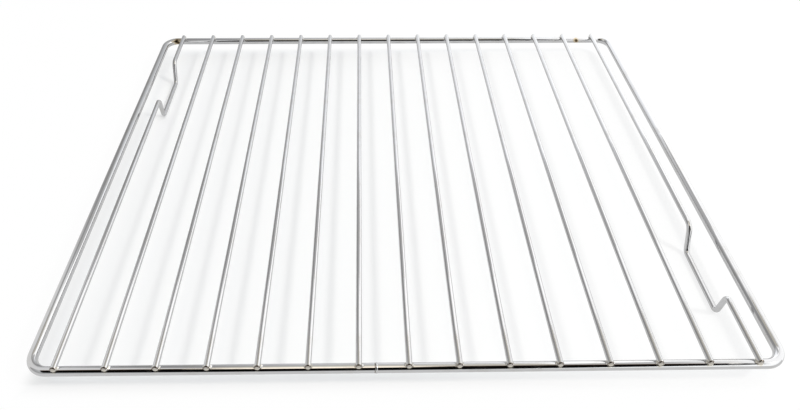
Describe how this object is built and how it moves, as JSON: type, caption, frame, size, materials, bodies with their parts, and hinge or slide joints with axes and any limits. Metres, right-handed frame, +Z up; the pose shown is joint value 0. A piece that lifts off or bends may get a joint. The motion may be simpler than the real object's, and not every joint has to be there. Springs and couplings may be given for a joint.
{
  "type": "oven shelf rack",
  "caption": "Chrome-plated wire oven shelf: a rounded frame of round wire with thinner parallel wires welded across its top and a dipped stop at each side.",
  "frame": {"origin": "under the middle of the rack, level with the undersides of the two dips that it stands on", "axes": "+X across the rack to the right, +Y from the front bar to the rear bar, +Z up"},
  "size_m": [0.446, 0.3642, 0.0201],
  "materials": {
    "frame_chrome": "bright chrome plating on drawn steel wire, with a brown heat tint beside some rear welds",
    "wire_chrome": "bright chrome plating on thinner drawn steel wire, duller at the welded ends"
  },
  "bodies": {
    "root": {"frame_wire": "frame_chrome", "left_stop_wire": "wire_chrome", "right_stop_wire": "wire_chrome", "cross_wire_01": "wire_chrome", "cross_wire_02": "wire_chrome", "cross_wire_03": "wire_chrome", "cross_wire_04": "wire_chrome", "cross_wire_05": "wire_chrome", "cross_wire_06": "wire_chrome", "cross_wire_07": "wire_chrome", "cross_wire_08": "wire_chrome", "cross_wire_09": "wire_chrome", "cross_wire_10": "wire_chrome", "cross_wire_11": "wire_chrome", "cross_wire_12": "wire_chrome", "cross_wire_13": "wire_chrome"}
  },
  "joints": []
}
